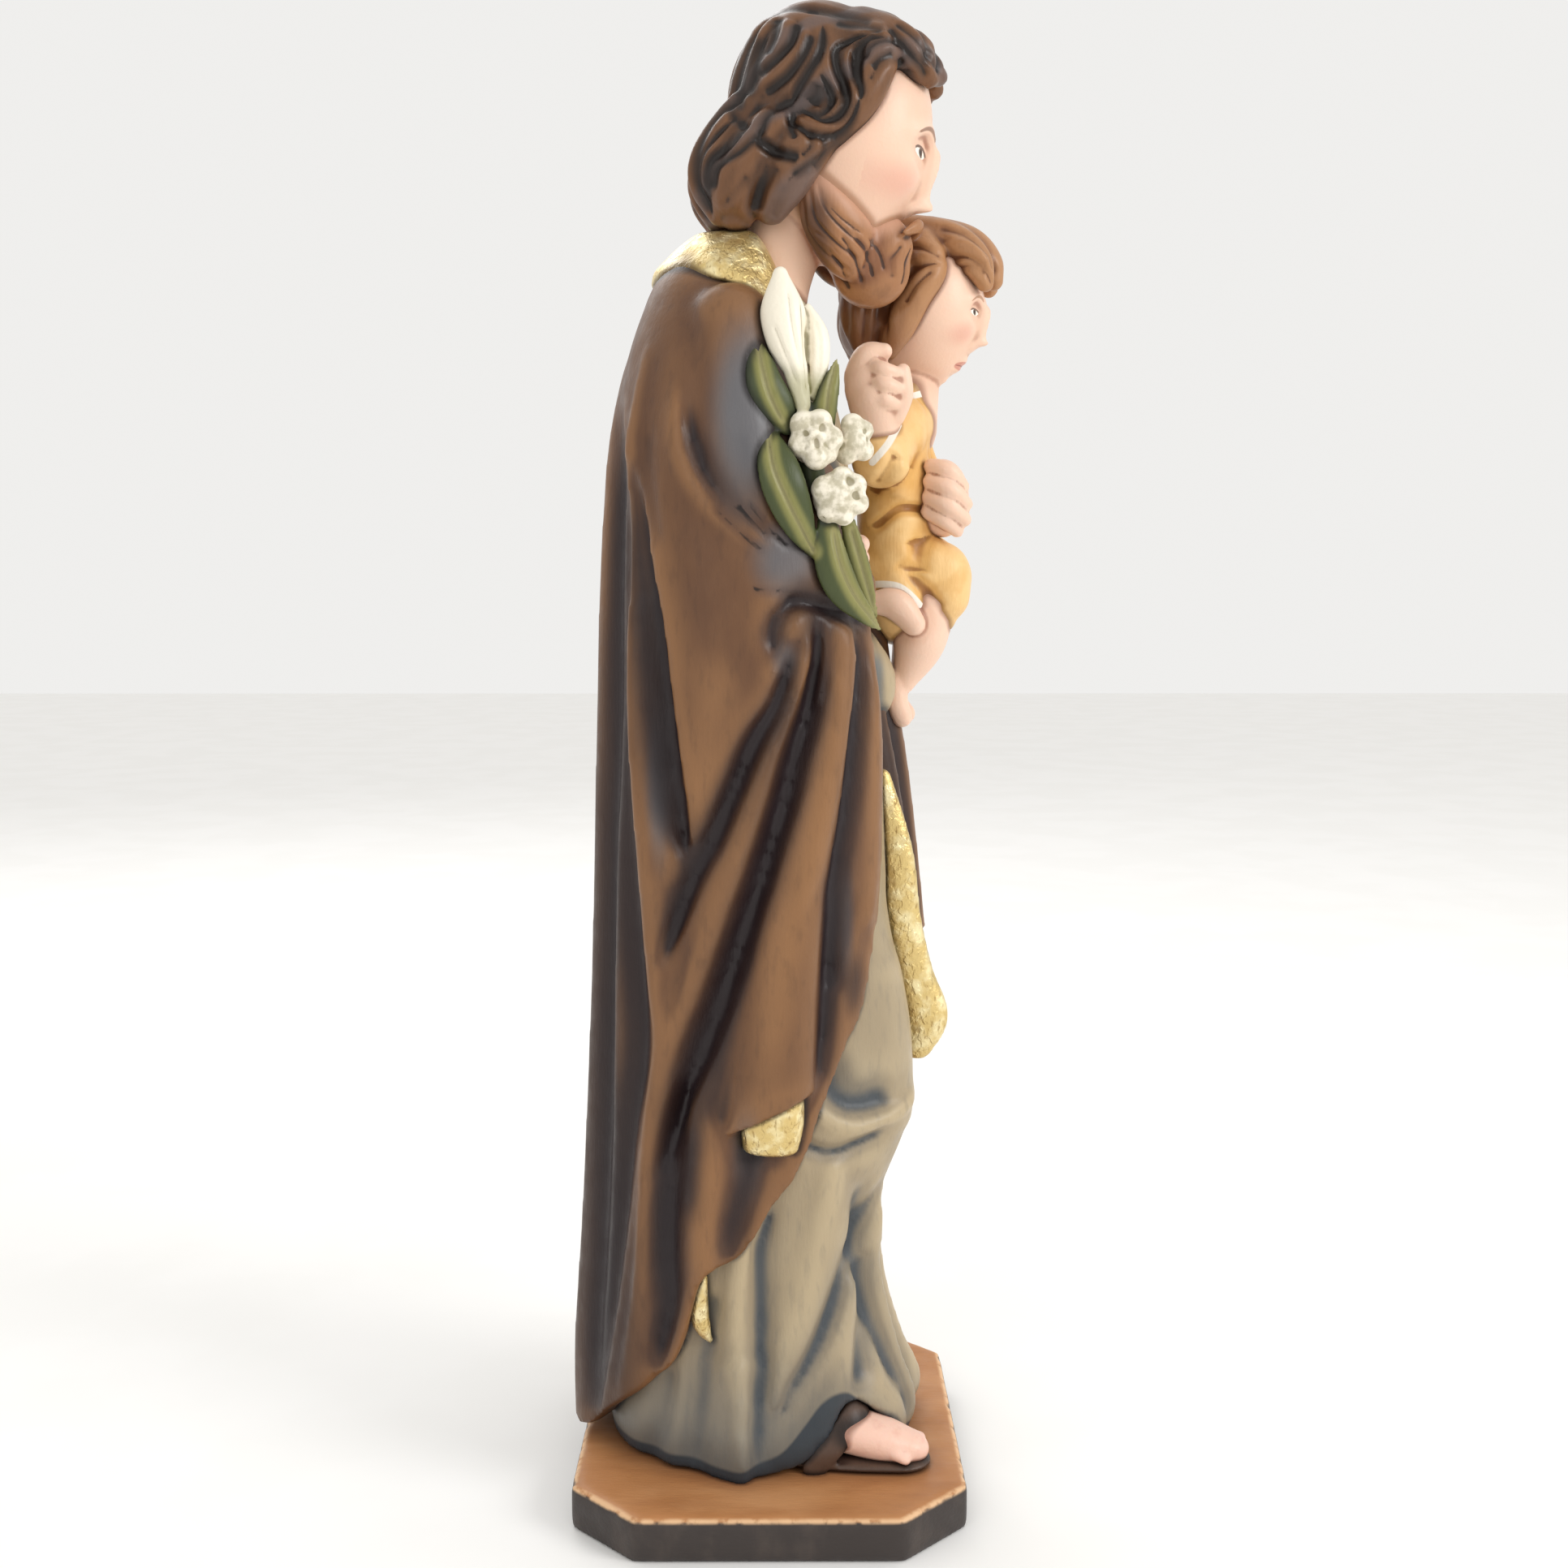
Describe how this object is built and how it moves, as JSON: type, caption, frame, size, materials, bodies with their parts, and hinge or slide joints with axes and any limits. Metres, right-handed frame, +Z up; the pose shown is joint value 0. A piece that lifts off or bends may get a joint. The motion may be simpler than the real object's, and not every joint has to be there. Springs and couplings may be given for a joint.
{
  "type": "carved saint statue",
  "caption": "Carved and painted wooden statue of a standing saint with a child on the arm and a lily in the other hand, on a plinth with cut corners.",
  "frame": {"origin": "middle of the plinth's flat underside", "axes": "+Z up through the figure, -Y the way the saint faces, -X the saint's right side with the lily"},
  "size_m": [0.09, 0.0902, 0.3018],
  "materials": {
    "painted_wood": "carved wood, painted in satin oil glazes with gilded borders"
  },
  "bodies": {
    "root": {"statue": "painted_wood"}
  },
  "joints": []
}
